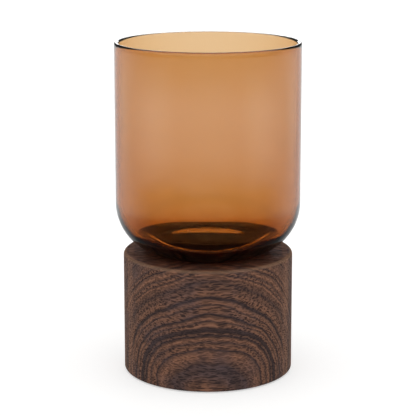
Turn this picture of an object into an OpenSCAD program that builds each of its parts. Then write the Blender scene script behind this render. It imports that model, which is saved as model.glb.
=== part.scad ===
// Table candle holder: a straight cup of clear glass, cased with amber on the inside, that stands
// loose in a shallow seat turned in the top of a solid wood cylinder. A felt disc is stuck below.
// Origin: centre of the felt's underside. +Z is up, and all four pieces share the Z axis.

/* [Glass cup] */
// Outside diameter of the cup
cup_d = 100; // [94:1:106]
// Height of the cup, from its flat bottom to the top of the rim
cup_h = 115; // [90:1:150]
// Thickness of the side wall, amber lining included
wall_t = 2.5; // [2.2:0.1:4]
// Thickness of the bottom, amber lining included
floor_t = 4.3; // [4.2:0.1:8]
// Radius of the large outside curve between the bottom and the wall
outer_curve_r = 28; // [26:1:29]
// Radius of the inside curve between the floor and the wall
inner_curve_r = 25; // [24:0.5:26]
// Thickness of the amber glass on the inside of the wall
lining_wall_t = 0.5; // [0.4:0.1:0.8]
// Thickness of the amber glass on the inside floor
lining_floor_t = 2.2; // [1.4:0.1:2.4]

/* [Wood base] */
// Diameter of the wood cylinder
base_d = 92; // [90:1:100]
// Height of the wood cylinder
base_h = 65.5; // [50:0.5:90]
// Rounding of the upper edge
top_round = 2; // [1:0.1:4]
// Rounding of the lower edge
foot_round = 1; // [0.5:0.1:2]
// Depth of the seat that the cup stands in
seat_depth = 1; // [0.8:0.1:1.4]
// Gap between the cup's curve and the seat's edge
seat_gap = 0.6; // [0.4:0.1:1.2]

/* [Felt pad] */
// Diameter of the felt disc
felt_d = 80; // [60:1:82]
// Thickness of the felt
felt_t = 1.5; // [1.2:0.1:3]
// How far the felt stands below the wood
felt_proud = 0.5; // [0.4:0.1:1]
// Gap between the felt's edge and the wall of its recess
felt_gap = 0.5; // [0.3:0.1:1]

/* [Hidden] */

$fn = 180;
curve_steps = 30;
edge_steps = 8;
// How far a cutting solid runs past the face that it cuts.
cut = 1;

cup_r = cup_d / 2;
base_r = base_d / 2;
felt_r = felt_d / 2;

base_top_z = felt_proud + base_h;
cup_z = base_top_z - seat_depth;
rim_z = cup_z + cup_h;

// The rim is fire-polished round, so half the wall thickness is its radius.
rim_r = wall_t / 2;
rim_centre_z = rim_z - rim_r;

// The amber glass is thicker at the floor than at the wall, and stops where the rim turns over.
inner_r = cup_r - wall_t;
inner_floor_z = cup_z + floor_t;
lining_r = inner_r + lining_wall_t;
lining_bottom_z = inner_floor_z - lining_floor_t;
lining_curve_r = inner_curve_r + lining_wall_t;
lining_top_z = rim_centre_z;

// Seat: as wide as the cup is at the height of the wood's top, plus the gap.
cup_flat_r = cup_r - outer_curve_r;
seat_r = cup_flat_r + sqrt(pow(outer_curve_r, 2) - pow(outer_curve_r - seat_depth, 2)) + seat_gap;

// Points along an arc in the half-plane (radius, height), from one angle to another.
function arc(centre, r, from, to, steps) = [
    for (i = [0 : steps])
        let (a = from + (to - from) * i / steps)
        [centre[0] + r * cos(a), centre[1] + r * sin(a)]
];

// Solid of revolution with a flat bottom, a curve of radius r, then a straight side up to top_z.
module bowl(outer_r, bottom_z, r, top_z) {
    rotate_extrude()
        polygon(concat(
            [[0, top_z], [0, bottom_z]],
            arc([outer_r - r, bottom_z + r], r, 270, 360, curve_steps),
            [[outer_r, top_z]]
        ));
}

// The cup's outside, up to and over the round rim.
module cup_outside() {
    rotate_extrude()
        polygon(concat(
            [[0, rim_z], [0, cup_z]],
            arc([cup_r - outer_curve_r, cup_z + outer_curve_r], outer_curve_r, 270, 360, curve_steps),
            arc([cup_r - rim_r, rim_centre_z], rim_r, 0, 90, edge_steps)
        ));
}

// Open mouth above the lining, as wide as the inner half of the round rim leaves it.
module mouth() {
    rotate_extrude()
        polygon(concat(
            [[0, rim_z + cut], [0, lining_top_z - cut], [inner_r, lining_top_z - cut]],
            arc([cup_r - rim_r, rim_centre_z], rim_r, 180, 90, edge_steps),
            [[cup_r - rim_r, rim_z + cut]]
        ));
}

// Clear glass: everything outside the amber layer, and the whole rim.
module glass_cup() {
    color([0.86, 0.84, 0.82, 0.45])
    difference() {
        cup_outside();
        bowl(lining_r, lining_bottom_z, lining_curve_r, lining_top_z);
        mouth();
    }
}

// Amber glass on the inside of the clear glass.
module amber_lining() {
    color([0.72, 0.42, 0.16, 0.75])
    difference() {
        bowl(lining_r, lining_bottom_z, lining_curve_r, lining_top_z);
        bowl(inner_r, inner_floor_z, inner_curve_r, lining_top_z + cut);
    }
}

// Turned solid wood with soft edges, the cup's seat on top and the felt's recess below.
module wood_base() {
    color([0.30, 0.21, 0.18])
    difference() {
        rotate_extrude()
            polygon(concat(
                [[0, base_top_z], [0, felt_proud]],
                arc([base_r - foot_round, felt_proud + foot_round], foot_round, 270, 360, edge_steps),
                arc([base_r - top_round, base_top_z - top_round], top_round, 0, 90, edge_steps)
            ));
        translate([0, 0, cup_z])
            cylinder(r = seat_r, h = seat_depth + cut);
        translate([0, 0, felt_proud - cut])
            cylinder(r = felt_r + felt_gap, h = felt_t - felt_proud + cut);
    }
}

// Self-adhesive felt disc that the holder stands on.
module felt_pad() {
    color([0.12, 0.11, 0.11])
    cylinder(r = felt_r, h = felt_t);
}

glass_cup();
amber_lining();
wood_base();
felt_pad();
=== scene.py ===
# Table candle holder: a cup of clear glass, cased in amber on the inside, that stands loose on a
# turned wood cylinder with felt below. All lengths are metres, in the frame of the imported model.
import math

import bmesh
import bpy
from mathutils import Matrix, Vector


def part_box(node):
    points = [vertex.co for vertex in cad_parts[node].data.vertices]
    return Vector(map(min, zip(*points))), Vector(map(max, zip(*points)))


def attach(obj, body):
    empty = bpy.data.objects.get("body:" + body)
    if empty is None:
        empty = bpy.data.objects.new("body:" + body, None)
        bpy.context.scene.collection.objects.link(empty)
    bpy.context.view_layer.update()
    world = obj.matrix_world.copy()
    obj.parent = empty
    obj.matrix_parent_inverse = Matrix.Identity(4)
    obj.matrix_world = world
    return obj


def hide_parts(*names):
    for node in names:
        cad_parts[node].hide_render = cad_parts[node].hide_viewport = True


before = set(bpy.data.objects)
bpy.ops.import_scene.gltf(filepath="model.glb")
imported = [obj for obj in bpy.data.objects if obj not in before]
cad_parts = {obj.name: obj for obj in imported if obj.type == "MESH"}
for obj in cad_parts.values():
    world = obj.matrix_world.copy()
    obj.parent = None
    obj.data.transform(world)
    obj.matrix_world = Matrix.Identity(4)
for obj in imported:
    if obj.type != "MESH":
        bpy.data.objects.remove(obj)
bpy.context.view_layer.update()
mm = 0.001


def linearColour(hexText):
    # sRGB hex to the linear colour that the shaders work in
    channels = [int(hexText[i:i + 2], 16) / 255 for i in (1, 3, 5)]
    linear = [c / 12.92 if c <= 0.04045 else ((c + 0.055) / 1.055) ** 2.4 for c in channels]
    return (*linear, 1.0)


def addNode(tree, kind, sockets=None, **settings):
    # one node, its settings, and for each input either a link or a value
    node = tree.nodes.new(kind)
    for name, value in settings.items():
        setattr(node, name, value)
    for socket, value in (sockets or {}).items():
        if isinstance(value, bpy.types.NodeSocket):
            tree.links.new(value, node.inputs[socket])
        else:
            node.inputs[socket].default_value = value
    return node


def newMaterial(name):
    # a material with nothing in its tree but the output
    material = bpy.data.materials.new(name)
    material.use_nodes = True
    tree = material.node_tree
    tree.nodes.clear()
    return material, tree, addNode(tree, "ShaderNodeOutputMaterial")


def setRamp(ramp, stops):
    # stops are (position, colour), from left to right
    points = ramp.color_ramp.elements
    points[0].position = stops[0][0]
    points[-1].position = stops[-1][0]
    for position, colour in stops[1:-1]:
        points.new(position)
    for point, (position, colour) in zip(points, stops):
        point.color = colour


# profiles: points (radius, height) from the axis out and back to the axis


def arc(centreRadius, centreHeight, radius, startAngle, endAngle, steps):
    points = []
    for i in range(steps + 1):
        angle = math.radians(startAngle + (endAngle - startAngle) * i / steps)
        points.append((centreRadius + radius * math.cos(angle), centreHeight + radius * math.sin(angle)))
    return points


def line(start, end, steps):
    # points between two ends, the ends left out
    return [tuple(a + (b - a) * i / steps for a, b in zip(start, end)) for i in range(1, steps)]


def turningTree():
    # Geometry Nodes lathe: turns the profile round Z, closes the poles, and makes it slightly uneven
    tree = bpy.data.node_groups.new("turnedPiece", "GeometryNodeTree")
    for name, kind in (
        ("Profile", "NodeSocketGeometry"),
        ("Turn steps", "NodeSocketInt"),
        ("Core radius", "NodeSocketFloat"),
        ("Merge distance", "NodeSocketFloat"),
        ("Unevenness", "NodeSocketFloat"),
        ("Wave length", "NodeSocketFloat"),
        ("Seed", "NodeSocketFloat"),
        ("Material", "NodeSocketMaterial"),
    ):
        tree.interface.new_socket(name, in_out="INPUT", socket_type=kind)
    tree.interface.new_socket("Piece", in_out="OUTPUT", socket_type="NodeSocketGeometry")
    given = addNode(tree, "NodeGroupInput").outputs

    # the profile is drawn with its height along Y, which the sweep lays along -Z
    curve = addNode(tree, "GeometryNodeMeshToCurve", {0: given["Profile"]})
    inwards = addNode(tree, "ShaderNodeMath", {0: given["Core radius"], 1: -1.0}, operation="MULTIPLY")
    shift = addNode(tree, "ShaderNodeCombineXYZ", {"X": inwards.outputs[0]})
    placed = addNode(tree, "GeometryNodeTransform", {
        "Geometry": curve.outputs[0], "Translation": shift.outputs[0], "Scale": (1, -1, 1)})
    core = addNode(tree, "GeometryNodeCurvePrimitiveCircle", {
        "Resolution": given["Turn steps"], "Radius": given["Core radius"]})
    swept = addNode(tree, "GeometryNodeCurveToMesh", {
        "Curve": core.outputs[0], "Profile Curve": placed.outputs[0]})
    closed = addNode(tree, "GeometryNodeMergeByDistance", {
        "Geometry": swept.outputs[0], "Distance": given["Merge distance"]})

    # hand-made unevenness: a slow noise moves each point along its normal
    place = addNode(tree, "GeometryNodeInputPosition")
    perWave = addNode(tree, "ShaderNodeMath", {0: 1.0, 1: given["Wave length"]}, operation="DIVIDE")
    noise = addNode(tree, "ShaderNodeTexNoise", {
        "Vector": place.outputs[0], "W": given["Seed"], "Scale": perWave.outputs[0], "Detail": 1.0},
        noise_dimensions="4D")
    centred = addNode(tree, "ShaderNodeMath", {0: noise.outputs[0], 1: 0.5}, operation="SUBTRACT")
    height = addNode(tree, "ShaderNodeMath", {0: centred.outputs[0], 1: given["Unevenness"]},
                     operation="MULTIPLY")
    normal = addNode(tree, "GeometryNodeInputNormal")
    offset = addNode(tree, "ShaderNodeVectorMath", {0: normal.outputs[0], "Scale": height.outputs[0]},
                     operation="SCALE")
    moved = addNode(tree, "GeometryNodeSetPosition", {
        "Geometry": closed.outputs[0], "Offset": offset.outputs[0]})
    smooth = addNode(tree, "GeometryNodeSetShadeSmooth", {"Geometry": moved.outputs[0]})
    real = addNode(tree, "GeometryNodeRealizeInstances", {0: smooth.outputs[0]})
    painted = addNode(tree, "GeometryNodeSetMaterial", {
        "Geometry": real.outputs[0], "Material": given["Material"]})
    addNode(tree, "NodeGroupOutput", {0: painted.outputs[0]})
    return tree


def turnPiece(name, tree, profile, material, values):
    # a wire of the profile, the lathe tree on it, and the result as one plain mesh
    wire = bpy.data.meshes.new(name + "Profile")
    edges = [(i, i + 1) for i in range(len(profile) - 1)]
    wire.from_pydata([(radius, height, 0) for radius, height in profile], edges, [])
    rough = bpy.data.objects.new(name + "Profile", wire)
    bpy.context.scene.collection.objects.link(rough)
    lathe = rough.modifiers.new("lathe", "NODES")
    lathe.node_group = tree
    given = {"Core radius": 10 * mm, "Merge distance": 0.001 * mm, "Material": material, **values}
    for item in tree.interface.items_tree:
        if item.name in given:
            lathe[item.identifier] = given[item.name]
    graph = bpy.context.evaluated_depsgraph_get()
    mesh = bpy.data.meshes.new_from_object(rough.evaluated_get(graph))
    bpy.data.objects.remove(rough)
    mesh.name = name
    piece = bpy.data.objects.new(name, mesh)
    bpy.context.scene.collection.objects.link(piece)
    faces = bmesh.new()
    faces.from_mesh(mesh)
    bmesh.ops.recalc_face_normals(faces, faces=faces.faces)
    faces.to_mesh(mesh)
    faces.free()
    print(name, "has", len(mesh.polygons), "faces")
    return piece


turnedPiece = turningTree()


# camera

camera = {
    "distance": 782 * mm,      # from the holder's axis
    "height": 270.6 * mm,
    "pitch": 10.98,            # degrees below level
    "lens": 127.7,
    "shift": -0.1294,          # the frame is cut from a taller one
}


def makeCamera():
    data = bpy.data.cameras.new("camera")
    data.lens = camera["lens"]
    data.shift_y = camera["shift"]
    eye = bpy.data.objects.new("camera", data)
    eye.location = (0, -camera["distance"], camera["height"])
    eye.rotation_euler = (math.radians(90 - camera["pitch"]), 0, 0)
    bpy.context.scene.collection.objects.link(eye)
    bpy.context.scene.camera = eye


makeCamera()
print("camera done")


# studio: a pale lit sheet, a dim room, one lit panel behind and a soft light overhead

studio = {
    "floorSize": 12.0,
    "floorGlow": 0.47,         # the sheet is lit from below, so shadows on it stay faint
    "overhead": 1.3,
    "overheadFrom": 42,        # degrees above level where the overhead light is full
    "dark": 0.08,              # what is left of the light everywhere else
    "blend": 0.3,              # share of the way to the front and to the back where they blend
    "sidesFrom": 0.55,         # share of the way to the side where the side light begins
    "sidesFull": 0.9,
    "panelLight": 5.0,
    "panelFrom": 5,            # degrees above level, lower edge
    "panelTo": 9.5,            # upper edge
    "panelEdge": 0.5,          # degrees over which its edges fade
    "panelHalfWidth": 6,       # degrees to each side of straight behind
    "panelFade": 6,
    # bands of light by height, which polished surfaces mirror: (degrees above level, strength)
    "lowFront": ((-40, 0.02), (-13.3, 0.02), (-12.5, 0.1), (-11.9, 1.0), (-10.8, 1.8), (-9.3, 2.1),
                 (-8.1, 1.0), (-7.0, 0.3), (-6.0, 0.02)),
    "lowSides": ((-18, 0), (-12.5, 0.35), (-9.5, 0.85), (-8, 0.7), (-6, 0), (-3, 0), (-2, 0.5), (18, 0.5),
                 (24, 0)),
    # the pale walls of the room above level, in front of the holder
    "skyline": ((-3, 0.02), (-2, 0.9), (18, 0.9), (24, 0.08)),
    "sideWarmth": (0.9, 1.0, 0.75),
    "lowBack": ((-60, 0.03), (-36, 0.1), (-22, 0.5), (-15, 0.8), (-5, 0.9), (-1, 0.3)),
}


def heightStops(bands):
    # (degrees above level, strength) to the stops of a ramp over a direction's height, 0 to 1
    return [((math.sin(math.radians(angle)) + 1) / 2, (strength, strength, strength, 1))
            for angle, strength in bands]


def makeWorld():
    world = bpy.data.worlds.new("studio")
    bpy.context.scene.world = world
    world.use_nodes = True
    tree = world.node_tree
    tree.nodes.clear()
    direction = addNode(tree, "ShaderNodeTexCoord").outputs["Generated"]
    parts = addNode(tree, "ShaderNodeSeparateXYZ", {0: direction})
    height = addNode(tree, "ShaderNodeMapRange", {
        "Value": parts.outputs["Z"], "From Min": -1.0, "From Max": 1.0}).outputs[0]

    # the room in front and behind, blended at the sides
    dark = studio["dark"]
    above = ((0, dark), (studio["overheadFrom"] - 10, dark), (studio["overheadFrom"], studio["overhead"]))
    front = addNode(tree, "ShaderNodeValToRGB", {0: height})
    setRamp(front, heightStops((*studio["lowFront"], *studio["skyline"], *above[1:])))
    back = addNode(tree, "ShaderNodeValToRGB", {0: height})
    setRamp(back, heightStops((*studio["lowBack"], *above)))
    behind = addNode(tree, "ShaderNodeMapRange", {
        "Value": parts.outputs["Y"], "From Min": -studio["blend"], "From Max": studio["blend"]})
    frontAndBack = addNode(tree, "ShaderNodeMix", {
        "Factor": behind.outputs[0], "A": front.outputs[0], "B": back.outputs[0]}, data_type="RGBA")

    # extra light from both sides
    sideRamp = addNode(tree, "ShaderNodeValToRGB", {0: height})
    setRamp(sideRamp, heightStops(studio["lowSides"]))
    across = addNode(tree, "ShaderNodeMath", {0: parts.outputs["X"]}, operation="ABSOLUTE")
    beside = addNode(tree, "ShaderNodeMapRange", {
        "Value": across.outputs[0], "From Min": studio["sidesFrom"], "From Max": studio["sidesFull"]},
        interpolation_type="SMOOTHSTEP")
    warm = addNode(tree, "ShaderNodeVectorMath", {
        0: sideRamp.outputs[0], 1: studio["sideWarmth"]}, operation="MULTIPLY")
    sides = addNode(tree, "ShaderNodeVectorMath", {
        0: warm.outputs[0], "Scale": beside.outputs[0]}, operation="SCALE")
    room = addNode(tree, "ShaderNodeVectorMath", {
        0: frontAndBack.outputs["Result"], 1: sides.outputs[0]}, operation="ADD")

    # the lit panel straight behind
    lower, upper, edge = studio["panelFrom"], studio["panelTo"], studio["panelEdge"]
    panel = addNode(tree, "ShaderNodeValToRGB", {0: height})
    setRamp(panel, heightStops(((lower - edge, 0), (lower, 1), (upper, 1), (upper + edge, 0))))
    bearing = addNode(tree, "ShaderNodeMath", {0: parts.outputs["X"], 1: parts.outputs["Y"]},
                      operation="ARCTAN2")
    sideways = addNode(tree, "ShaderNodeMath", {0: bearing.outputs[0]}, operation="ABSOLUTE")
    half = studio["panelHalfWidth"]
    inside = addNode(tree, "ShaderNodeMapRange", {
        "Value": sideways.outputs[0], "From Min": math.radians(half),
        "From Max": math.radians(half + studio["panelFade"]),
        "To Min": studio["panelLight"], "To Max": 0.0}, interpolation_type="SMOOTHSTEP")
    lit = addNode(tree, "ShaderNodeVectorMath", {
        0: panel.outputs[0], "Scale": inside.outputs[0]}, operation="SCALE")
    both = addNode(tree, "ShaderNodeVectorMath", {
        0: room.outputs[0], 1: lit.outputs[0]}, operation="ADD")

    # the camera itself sees an even pale background
    seen = addNode(tree, "ShaderNodeLightPath").outputs["Is Camera Ray"]
    pale = addNode(tree, "ShaderNodeMix", {
        "Factor": seen, "A": both.outputs[0], "B": (1, 1, 1, 1)}, data_type="RGBA")
    light = addNode(tree, "ShaderNodeBackground", {"Color": pale.outputs["Result"]})
    addNode(tree, "ShaderNodeOutputWorld", {"Surface": light.outputs[0]})


def makeFloor():
    material, tree, output = newMaterial("paleSheet")
    place = addNode(tree, "ShaderNodeTexCoord").outputs["Object"]
    mottle = addNode(tree, "ShaderNodeTexNoise", {"Vector": place, "Scale": 3.0, "Detail": 2.0})
    tone = addNode(tree, "ShaderNodeMapRange", {
        "Value": mottle.outputs[0], "To Min": 0.68, "To Max": 0.7})
    sheet = addNode(tree, "ShaderNodeBsdfPrincipled", {
        "Base Color": tone.outputs[0], "Roughness": 0.9, "Specular IOR Level": 0.1,
        "Emission Color": (1, 1, 1, 1), "Emission Strength": studio["floorGlow"]})
    tree.links.new(sheet.outputs[0], output.inputs["Surface"])
    half = studio["floorSize"] / 2
    corners = [(-half, -half, 0), (half, -half, 0), (half, half, 0), (-half, half, 0)]
    mesh = bpy.data.meshes.new("floor")
    mesh.from_pydata(corners, [], [(0, 1, 2, 3)])
    mesh.materials.append(material)
    floor = bpy.data.objects.new("floor", mesh)
    bpy.context.scene.collection.objects.link(floor)
    # reflections pass through the sheet and see the bands of light below level
    floor.visible_glossy = False


makeWorld()
makeFloor()
scene = bpy.context.scene
scene.view_settings.view_transform = "Standard"
scene.cycles.max_bounces = 24
scene.cycles.transmission_bounces = 24
scene.cycles.glossy_bounces = 8
scene.cycles.use_denoising = True
print("studio done")


# glass cup: blown soda-lime glass, fire-polished rim, amber casing on the inside

cup = {
    "wall": 2.5 * mm,
    "floor": 4.3 * mm,
    "outsideCurve": 28 * mm,
    "insideCurve": 25 * mm,
    "curveSteps": 48,
    "wallSteps": 40,
    "flatSteps": 8,
    "rimSteps": 16,
    "turnSteps": 256,
    "unevenness": 0.05 * mm,
    "waveLength": 30 * mm,
    "seed": 3.0,
    "ripplesPerMetre": 45.0,
    "rippleDepth": 0.2 * mm,
    "amberAtRim": 0.5 * mm,   # thickness of the amber layer at the top of the wall
    "amberAtCurve": 0.6 * mm,
    "amberAtFloor": 2.2 * mm,
    "amberGrowth": 2.7,        # power by which it thickens round the curve
    "amberOver": 40,           # degrees round the rim's section where the layer ends, 180 is inside
    "amberDepth": 0.02 * mm,   # clear skin between the amber and the candle's room
    "amberStrength": (0.35, 0.78, 1.44),   # optical depth of the middle of the wall, in R, G and B
}


def blownGlass():
    # clear soda-lime glass: smooth and colourless, with a faint ripple from the blowing
    material, tree, output = newMaterial("blownSodaLimeGlass")
    place = addNode(tree, "ShaderNodeTexCoord").outputs["Object"]
    ripple = addNode(tree, "ShaderNodeTexNoise", {
        "Vector": place, "Scale": cup["ripplesPerMetre"], "Detail": 2.0})
    bump = addNode(tree, "ShaderNodeBump", {
        "Height": ripple.outputs[0], "Strength": 0.15, "Distance": cup["rippleDepth"]})
    haze = addNode(tree, "ShaderNodeMapRange", {
        "Value": ripple.outputs[0], "To Min": 0.0, "To Max": 0.02})
    glass = addNode(tree, "ShaderNodeBsdfPrincipled", {
        "Base Color": (1, 1, 1, 1), "Roughness": haze.outputs[0], "IOR": 1.5,
        "Transmission Weight": 1.0, "Normal": bump.outputs[0]})
    tree.links.new(glass.outputs[0], output.inputs["Surface"])
    return material


def amberGlass():
    # amber glass layer: its colour is all in its depth, so thick places are deeper and redder
    material, tree, output = newMaterial("amberCasingGlass")
    thickness = (cup["amberAtRim"] + cup["amberAtCurve"]) / 2
    perMetre = [depth / thickness for depth in cup["amberStrength"]]
    density = max(perMetre)
    body = addNode(tree, "ShaderNodeVolumeAbsorption", {
        "Color": (*[1 - value / density for value in perMetre], 1), "Density": density})
    skin = addNode(tree, "ShaderNodeBsdfPrincipled", {
        "Base Color": (1, 1, 1, 1), "Roughness": 0.0, "IOR": 1.0, "Transmission Weight": 1.0})
    tree.links.new(skin.outputs[0], output.inputs["Surface"])
    tree.links.new(body.outputs[0], output.inputs["Volume"])
    return material


def innerWall(radius, floorHeight, curve, topHeight):
    # inside of the cup from the top of the wall down to the axis
    top, foot = (radius, topHeight), (radius, floorHeight + curve)
    wall = [top] + line(top, foot, cup["wallSteps"])
    bend = arc(radius - curve, floorHeight + curve, curve, 0, -90, cup["curveSteps"])
    flat = line(bend[-1], (0, floorHeight), cup["flatSteps"]) + [(0, floorHeight)]
    return wall + bend + flat


def makeCup():
    low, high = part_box("glass_cup")
    outside = high.x
    inside = outside - cup["wall"]
    floorHeight = low.z + cup["floor"]
    rim = cup["wall"] / 2
    rimCentre = high.z - rim
    curve = cup["outsideCurve"]
    foot = (outside - curve, low.z)
    bend = arc(outside - curve, low.z + curve, curve, -90, 0, cup["curveSteps"])
    side = line(bend[-1], (outside, rimCentre), cup["wallSteps"])
    lip = arc(outside - rim, rimCentre, rim, 0, 180, cup["rimSteps"])
    profile = [(0, low.z)] + line((0, low.z), foot, cup["flatSteps"]) + bend + side + lip
    profile += innerWall(inside, floorHeight, cup["insideCurve"], rimCentre)[1:]
    clear = turnPiece("glassCup", turnedPiece, profile, blownGlass(), {
        "Turn steps": cup["turnSteps"], "Unevenness": cup["unevenness"],
        "Wave length": cup["waveLength"], "Seed": cup["seed"]})

    # the amber layer lies just under the inside surface and thickens towards the floor
    skin = cup["amberDepth"]
    near = innerWall(inside + skin, floorHeight - skin, cup["insideCurve"] + skin, rimCentre)
    # it also runs over the top of the round rim, as a thin skin
    over = arc(outside - rim, rimCentre, rim - skin, cup["amberOver"], 180, cup["rimSteps"])[:-1]
    under = arc(outside - rim, rimCentre, rim - skin - cup["amberAtRim"], cup["amberOver"], 180,
                cup["rimSteps"])[:-1]
    far = []
    wallFoot = floorHeight + cup["insideCurve"]
    for radius, height in near:
        if height >= wallFoot:
            share = (rimCentre - height) / (rimCentre - wallFoot)
            thickness = cup["amberAtRim"] + (cup["amberAtCurve"] - cup["amberAtRim"]) * share
            far.append((radius + thickness, height))
        else:
            # round the curve the layer grows along the curve's own normal
            flatRadius = inside - cup["insideCurve"]
            along = Vector((max(radius - flatRadius, 0), height - wallFoot)).normalized()
            share = min(1, max(0, -math.degrees(math.atan2(along.y, along.x)) / 90))
            gain = (cup["amberAtFloor"] - cup["amberAtCurve"]) * share ** cup["amberGrowth"]
            thickness = cup["amberAtCurve"] + gain
            far.append((radius + along.x * thickness, height + along.y * thickness))
    amber = turnPiece("amberLayer", turnedPiece, far[::-1] + under[::-1] + over + near, amberGlass(), {
        "Turn steps": cup["turnSteps"], "Unevenness": 0.0,
        "Wave length": cup["waveLength"], "Seed": cup["seed"]})

    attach(clear, "cup")
    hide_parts("glass_cup")
    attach(amber, "cup")
    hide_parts("amber_lining")


makeCup()
print("cup done")


# wood base: one turned block, its fibres level from side to side

base = {
    "topRound": 2 * mm,
    "footRound": 1 * mm,
    "seatRadius": 30 * mm,
    "seatDepth": 1 * mm,
    "seatRound": 0.3 * mm,
    "feltRecess": 40.5 * mm,
    "feltDepth": 1 * mm,
    "turnSteps": 256,
    "roundSteps": 8,
    "support": 0.4 * mm,       # distance of the extra points beside each rounding
    "unevenness": 0.02 * mm,
    "unevenLength": 15 * mm,
    "seed": 5.0,
    "pithAhead": 14 * mm,      # the tree's heart lies in front of the block
    "pithHeight": 2 * mm,
    "ringSpacing": 8.5 * mm,
    "uneasyYears": 2.2,        # how many years the noise pushes the rings about by
    "ringWander": 4.5 * mm,
    "wanderLength": 38 * mm,
    "sweep": 11 * mm,          # the trunk bends, so the rings fall away towards both ends
    "sweepPower": 3.0,
    "swell": 5 * mm,           # and they bulge upwards at the middle of the front
    "swellReach": 26 * mm,
    "swellFrom": 30 * mm,      # height above the floor where the bulge begins
    "swellTo": 52 * mm,
    "patchSize": 22 * mm,
    "endStreakWidth": 3.5 * mm,
    "endFrom": 0.84,           # shares of the radius, sideways, where the painted side light comes in, in paler streaks
    "endFull": 0.93,
    "endPaleness": 0.75,
    "waveHeight": 0.5 * mm,    # the vessels weave a little up and down
    "waveLength": 5 * mm,
    "vesselSpacing": 1.0 * mm,
    "vesselLength": 9 * mm,
    "poreSpacing": 0.75 * mm,
    "poreLength": 6 * mm,
    "poreDepth": 0.8,
    "fibreWidth": 0.6 * mm,
    "fibreLength": 26 * mm,
    "grainDepth": 0.15 * mm,
    "light": "#7f5743",
    "middle": "#644639",
    "dark": "#3c2c2a",
    "dusk": "#493530",
    "pore": "#1d181b",
    "cool": "#4a3e42",
    "paintedSideLight": "#976a52",    # painted light: paler towards both ends of the fibres, on the left and right sides of the block
    "paintedEdgeHighlight": "#9a785f",       # painted highlight along the rounded upper edge, where the rounding catches the light
}


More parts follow.
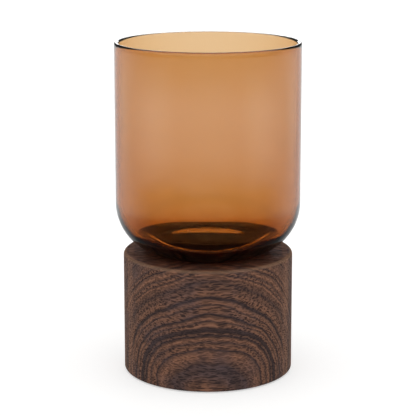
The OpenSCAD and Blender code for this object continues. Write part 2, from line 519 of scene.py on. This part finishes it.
def stainedHardwood(radius, top):
    # ring-porous hardwood, dark stained, matt oiled: rings as light and dark bands, open vessels that
    # show as dashes where the surface runs along them and as dots where it cuts across them
    material, tree, output = newMaterial("oiledDarkHardwood")
    place = addNode(tree, "ShaderNodeTexCoord").outputs["Object"]
    parts = addNode(tree, "ShaderNodeSeparateXYZ", {0: place})

    # the pith runs sideways in front of the base; slow wander of the rings, slower along the trunk
    pith = addNode(tree, "ShaderNodeMapping", {
        "Vector": place, "Location": (0, radius + base["pithAhead"], -base["pithHeight"])})
    slow = addNode(tree, "ShaderNodeMapping", {
        "Vector": place, "Scale": (1 / (1.3 * base["wanderLength"]),) + (1 / base["wanderLength"],) * 2})
    wander = addNode(tree, "ShaderNodeTexNoise", {
        "Vector": slow.outputs[0], "Scale": 1.0, "Detail": 4.0, "Roughness": 0.6})
    centred = addNode(tree, "ShaderNodeVectorMath", {
        0: wander.outputs["Color"], 1: (0.5, 0.5, 0.5)}, operation="SUBTRACT")
    shift = addNode(tree, "ShaderNodeVectorMath", {
        0: centred.outputs[0], "Scale": 2 * base["ringWander"]}, operation="SCALE")
    bent = addNode(tree, "ShaderNodeVectorMath", {
        0: pith.outputs[0], 1: shift.outputs[0]}, operation="ADD").outputs[0]
    across = addNode(tree, "ShaderNodeVectorMath", {0: bent, 1: (0, 1, 1)}, operation="MULTIPLY")
    distance = addNode(tree, "ShaderNodeVectorMath", {0: across.outputs[0]}, operation="LENGTH")

    # sweep of the trunk, and the bulge on the middle plane of the front's upper half
    sideways = addNode(tree, "ShaderNodeMath", {0: parts.outputs["X"]}, operation="ABSOLUTE").outputs[0]
    share = addNode(tree, "ShaderNodeMath", {0: sideways, 1: radius}, operation="DIVIDE")
    outwards = addNode(tree, "ShaderNodeMath", {0: share.outputs[0], 1: base["sweepPower"]},
                       operation="POWER")
    swept = addNode(tree, "ShaderNodeMath", {
        0: outwards.outputs[0], 1: base["sweep"], 2: distance.outputs["Value"]}, operation="MULTIPLY_ADD")
    bulge = addNode(tree, "ShaderNodeMapRange", {
        "Value": sideways, "From Min": 0.0, "From Max": base["swellReach"], "To Min": base["swell"],
        "To Max": 0.0}, interpolation_type="SMOOTHSTEP")
    high = addNode(tree, "ShaderNodeMapRange", {
        "Value": parts.outputs["Z"], "From Min": base["swellFrom"], "From Max": base["swellTo"]},
        interpolation_type="SMOOTHSTEP")
    raised = addNode(tree, "ShaderNodeMath", {0: bulge.outputs[0], 1: high.outputs[0]},
                     operation="MULTIPLY")
    age = addNode(tree, "ShaderNodeMath", {0: swept.outputs[0], 1: raised.outputs[0]},
                  operation="SUBTRACT")

    # years: even spacing, pushed about by a noise along the radius
    years = addNode(tree, "ShaderNodeMath", {0: age.outputs[0], 1: base["ringSpacing"]},
                    operation="DIVIDE")
    pace = addNode(tree, "ShaderNodeTexNoise", {"W": years.outputs[0], "Scale": 0.8, "Detail": 1.0},
                   noise_dimensions="1D")
    year = addNode(tree, "ShaderNodeMath", {
        0: pace.outputs[0], 1: base["uneasyYears"], 2: years.outputs[0]}, operation="MULTIPLY_ADD")
    season = addNode(tree, "ShaderNodeMath", {0: year.outputs[0]}, operation="FRACT").outputs[0]
    ring = addNode(tree, "ShaderNodeValToRGB", {0: season})
    setRamp(ring, [
        (0.0, linearColour(base["dark"])),
        (0.03, linearColour(base["middle"])),
        (0.2, linearColour(base["light"])),
        (0.38, linearColour(base["middle"])),
        (0.46, linearColour(base["dusk"])),
        (0.54, linearColour(base["middle"])),
        (0.7, linearColour(base["light"])),
        (0.88, linearColour(base["middle"])),
        (0.96, linearColour(base["dark"])),
        (1.0, linearColour(base["dark"])),
    ])

    # thin bands within each year
    bands = addNode(tree, "ShaderNodeTexNoise", {"W": years.outputs[0], "Scale": 7.0, "Detail": 2.0},
                    noise_dimensions="1D").outputs[0]
    bandTone = addNode(tree, "ShaderNodeMapRange", {
        "Value": bands, "From Min": 0.3, "From Max": 0.7, "To Min": 0.78, "To Max": 1.18})

    # cooler, darker patches over several rings, and painted light: paler streaks towards the ends of the
    # fibres, on both sides of the block
    patch = addNode(tree, "ShaderNodeTexNoise", {
        "Vector": bent, "Scale": 1 / base["patchSize"], "Detail": 3.0})
    cooled = addNode(tree, "ShaderNodeMapRange", {
        "Value": patch.outputs[0], "From Min": 0.45, "From Max": 0.68, "To Min": 0.0, "To Max": 0.6})
    tinted = addNode(tree, "ShaderNodeMix", {
        "Factor": cooled.outputs[0], "A": ring.outputs[0], "B": linearColour(base["cool"])},
        data_type="RGBA")
    endward = addNode(tree, "ShaderNodeMapRange", {
        "Value": share.outputs[0], "From Min": base["endFrom"], "From Max": base["endFull"],
        "To Min": 0.0, "To Max": base["endPaleness"]},
        interpolation_type="SMOOTHSTEP")
    streakAt = addNode(tree, "ShaderNodeTexNoise", {
        "W": sideways, "Scale": 1 / base["endStreakWidth"], "Detail": 1.0}, noise_dimensions="1D")
    streak = addNode(tree, "ShaderNodeMapRange", {
        "Value": streakAt.outputs[0], "From Min": 0.4, "From Max": 0.6})
    ended = addNode(tree, "ShaderNodeMath", {0: endward.outputs[0], 1: streak.outputs[0]},
                    operation="MULTIPLY")
    paler = addNode(tree, "ShaderNodeMix", {
        "Factor": ended.outputs[0], "A": tinted.outputs["Result"], "B": linearColour(base["paintedSideLight"])},
        data_type="RGBA")

    # fibres: long thin streaks that lighten and darken the wood
    drawn = addNode(tree, "ShaderNodeMapping", {
        "Vector": bent, "Scale": (1 / base["fibreLength"],) + (1 / base["fibreWidth"],) * 2})
    fibre = addNode(tree, "ShaderNodeTexNoise", {
        "Vector": drawn.outputs[0], "Scale": 1.0, "Detail": 3.0, "Roughness": 0.65}).outputs[0]
    fibreTone = addNode(tree, "ShaderNodeMapRange", {
        "Value": fibre, "From Min": 0.3, "From Max": 0.7, "To Min": 0.72, "To Max": 1.25})
    tone = addNode(tree, "ShaderNodeMath", {0: bandTone.outputs[0], 1: fibreTone.outputs[0]},
                   operation="MULTIPLY")
    streaked = addNode(tree, "ShaderNodeVectorMath", {
        0: paler.outputs["Result"], "Scale": tone.outputs[0]}, operation="SCALE")

    # vessels in the wood of spring, finer pores everywhere: real ones are 0.1 to 0.3 mm wide, and
    # they are drawn about three times as wide so that they show
    wavy = addNode(tree, "ShaderNodeTexNoise", {
        "Vector": place, "Scale": 1 / base["waveLength"], "Detail": 1.0})
    waved = addNode(tree, "ShaderNodeVectorMath", {
        0: wavy.outputs["Color"], 1: (0.0, 2 * base["waveHeight"], 2 * base["waveHeight"]), 2: bent},
        operation="MULTIPLY_ADD")
    alongVessels = addNode(tree, "ShaderNodeMapping", {
        "Vector": waved.outputs[0],
        "Scale": (1 / base["vesselLength"],) + (1 / base["vesselSpacing"],) * 2})
    vessels = addNode(tree, "ShaderNodeTexVoronoi", {"Vector": alongVessels.outputs[0], "Scale": 1.0})
    vesselHere = addNode(tree, "ShaderNodeMapRange", {
        "Value": vessels.outputs["Distance"], "From Min": 0.3, "From Max": 0.5, "To Min": 1.0,
        "To Max": 0.0}, interpolation_type="SMOOTHSTEP")
    springWood = addNode(tree, "ShaderNodeMapRange", {
        "Value": season, "From Min": 0.3, "From Max": 0.8, "To Min": 1.0, "To Max": 0.55})
    vessel = addNode(tree, "ShaderNodeMath", {0: vesselHere.outputs[0], 1: springWood.outputs[0]},
                     operation="MULTIPLY")
    alongPores = addNode(tree, "ShaderNodeMapping", {
        "Vector": waved.outputs[0],
        "Scale": (1 / base["poreLength"],) + (1 / base["poreSpacing"],) * 2})
    pores = addNode(tree, "ShaderNodeTexVoronoi", {"Vector": alongPores.outputs[0], "Scale": 1.0})
    pore = addNode(tree, "ShaderNodeMapRange", {
        "Value": pores.outputs["Distance"], "From Min": 0.2, "From Max": 0.5, "To Min": 0.75,
        "To Max": 0.0}, interpolation_type="SMOOTHSTEP")
    openGrain = addNode(tree, "ShaderNodeMath", {0: vessel.outputs[0], 1: pore.outputs[0]},
                        operation="MAXIMUM").outputs[0]
    inked = addNode(tree, "ShaderNodeMath", {0: openGrain, 1: base["poreDepth"]}, operation="MULTIPLY")
    colour = addNode(tree, "ShaderNodeMix", {
        "Factor": inked.outputs[0], "A": streaked.outputs[0], "B": linearColour(base["pore"])},
        data_type="RGBA")

    # a narrow painted highlight along the rounded upper edge
    level = addNode(tree, "ShaderNodeVectorMath", {0: place, 1: (1, 1, 0)}, operation="MULTIPLY")
    reach = addNode(tree, "ShaderNodeVectorMath", {0: level.outputs[0]}, operation="LENGTH")
    edgeOut = addNode(tree, "ShaderNodeMapRange", {
        "Value": reach.outputs["Value"], "From Min": radius - base["topRound"],
        "From Max": radius - 0.7 * base["topRound"], "To Min": 0.0, "To Max": 0.35})
    edgeUp = addNode(tree, "ShaderNodeMapRange", {
        "Value": parts.outputs["Z"], "From Min": top - 0.8 * base["topRound"],
        "From Max": top - 0.5 * base["topRound"]})
    edge = addNode(tree, "ShaderNodeMath", {0: edgeOut.outputs[0], 1: edgeUp.outputs[0]},
                   operation="MULTIPLY")
    # the painted highlight is mixed into the wood's colour along that edge
    paintedEdgeHighlight = addNode(tree, "ShaderNodeMix", {
        "Factor": edge.outputs[0], "A": colour.outputs["Result"], "B": linearColour(base["paintedEdgeHighlight"])},
        data_type="RGBA")

    # open grain sinks into the surface, and is duller than the oiled wood between
    relief = addNode(tree, "ShaderNodeMath", {0: openGrain, 1: -1.0, 2: fibre}, operation="MULTIPLY_ADD")
    bump = addNode(tree, "ShaderNodeBump", {
        "Height": relief.outputs[0], "Strength": 0.5, "Distance": base["grainDepth"]})
    dullness = addNode(tree, "ShaderNodeMapRange", {"Value": openGrain, "To Min": 0.6, "To Max": 0.85})
    wood = addNode(tree, "ShaderNodeBsdfPrincipled", {
        "Base Color": paintedEdgeHighlight.outputs["Result"], "Roughness": dullness.outputs[0],
        "IOR": 1.5, "Specular IOR Level": 0.15, "Normal": bump.outputs[0]})
    tree.links.new(wood.outputs[0], output.inputs["Surface"])
    return material


def supported(profile, reach):
    # adds a point near both ends of each long straight, so smooth shading stays flat there
    result = [profile[0]]
    for start, end in zip(profile[:-1], profile[1:]):
        length = math.dist(start, end)
        if length > 4 * reach:
            for share in (reach / length, 0.5, 1 - reach / length):
                result.append(tuple(a + (b - a) * share for a, b in zip(start, end)))
        result.append(end)
    return result


def makeBase():
    low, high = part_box("wood_base")
    radius = high.x
    steps = base["roundSteps"]
    foot, top, seat = base["footRound"], base["topRound"], base["seatRound"]
    seatFloor = high.z - base["seatDepth"]
    recess = low.z + base["feltDepth"]
    profile = [(0, recess), (base["feltRecess"], recess)]
    profile += arc(base["feltRecess"] + seat, low.z + seat, seat, 180, 270, steps)
    profile += arc(radius - foot, low.z + foot, foot, -90, 0, steps)
    profile += arc(radius - top, high.z - top, top, 0, 90, steps)
    profile += arc(base["seatRadius"] + seat, high.z - seat, seat, 90, 180, steps)
    profile += [(base["seatRadius"], seatFloor), (0, seatFloor)]
    wood = stainedHardwood(radius, high.z)
    block = turnPiece("woodBase", turnedPiece, supported(profile, base["support"]), wood, {
        "Turn steps": base["turnSteps"], "Unevenness": base["unevenness"],
        "Wave length": base["unevenLength"], "Seed": base["seed"]})
    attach(block, "base")
    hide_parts("wood_base")


makeBase()
print("base done")


# felt pad: pressed wool, glued into the recess below the wood

felt = {
    "edgeRound": 0.3 * mm,
    "edgeSteps": 4,
    "fibreLength": 3 * mm,
    "fibreWidth": 0.25 * mm,
    "light": "#3f3d3c",
    "dark": "#262524",
    "relief": 0.2 * mm,
    "skin": 0.02 * mm,         # gap that keeps the pad's top clear of the wood
    "turnSteps": 192,
}


def pressedFelt():
    # wool felt: matted fibres in no direction, so soft, matt and slightly fuzzy at grazing light
    material, tree, output = newMaterial("pressedWoolFelt")
    place = addNode(tree, "ShaderNodeTexCoord").outputs["Object"]
    layers = []
    for turn in (0.3, 1.4, 2.5):
        turned = addNode(tree, "ShaderNodeMapping", {
            "Vector": place, "Rotation": (0, 0, turn),
            "Scale": (1 / felt["fibreLength"], 1 / felt["fibreWidth"], 1 / felt["fibreWidth"])})
        layers.append(addNode(tree, "ShaderNodeTexNoise", {
            "Vector": turned.outputs[0], "Scale": 1.0, "Detail": 2.0, "Distortion": 0.8}).outputs[0])
    two = addNode(tree, "ShaderNodeMath", {0: layers[0], 1: layers[1]}, operation="MAXIMUM")
    mat = addNode(tree, "ShaderNodeMath", {0: two.outputs[0], 1: layers[2]}, operation="MAXIMUM")
    tone = addNode(tree, "ShaderNodeValToRGB", {0: mat.outputs[0]})
    setRamp(tone, [(0.45, linearColour(felt["dark"])), (0.75, linearColour(felt["light"]))])
    bump = addNode(tree, "ShaderNodeBump", {
        "Height": mat.outputs[0], "Strength": 0.8, "Distance": felt["relief"]})
    wool = addNode(tree, "ShaderNodeBsdfPrincipled", {
        "Base Color": tone.outputs[0], "Roughness": 0.95, "Specular IOR Level": 0.2,
        "Sheen Weight": 0.4, "Sheen Roughness": 0.5, "Normal": bump.outputs[0]})
    tree.links.new(wool.outputs[0], output.inputs["Surface"])
    return material


def makeFelt():
    low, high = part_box("felt_pad")
    radius, edge = high.x, felt["edgeRound"]
    profile = [(0, low.z)] + arc(radius - edge, low.z + edge, edge, -90, 0, felt["edgeSteps"])
    profile += [(radius, high.z - felt["skin"]), (0, high.z - felt["skin"])]
    pad = turnPiece("feltPad", turnedPiece, supported(profile, edge), pressedFelt(), {
        "Turn steps": felt["turnSteps"], "Unevenness": 0.0, "Wave length": 3 * mm, "Seed": 8.0})
    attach(pad, "base")
    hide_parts("felt_pad")


makeFelt()
print("felt done")
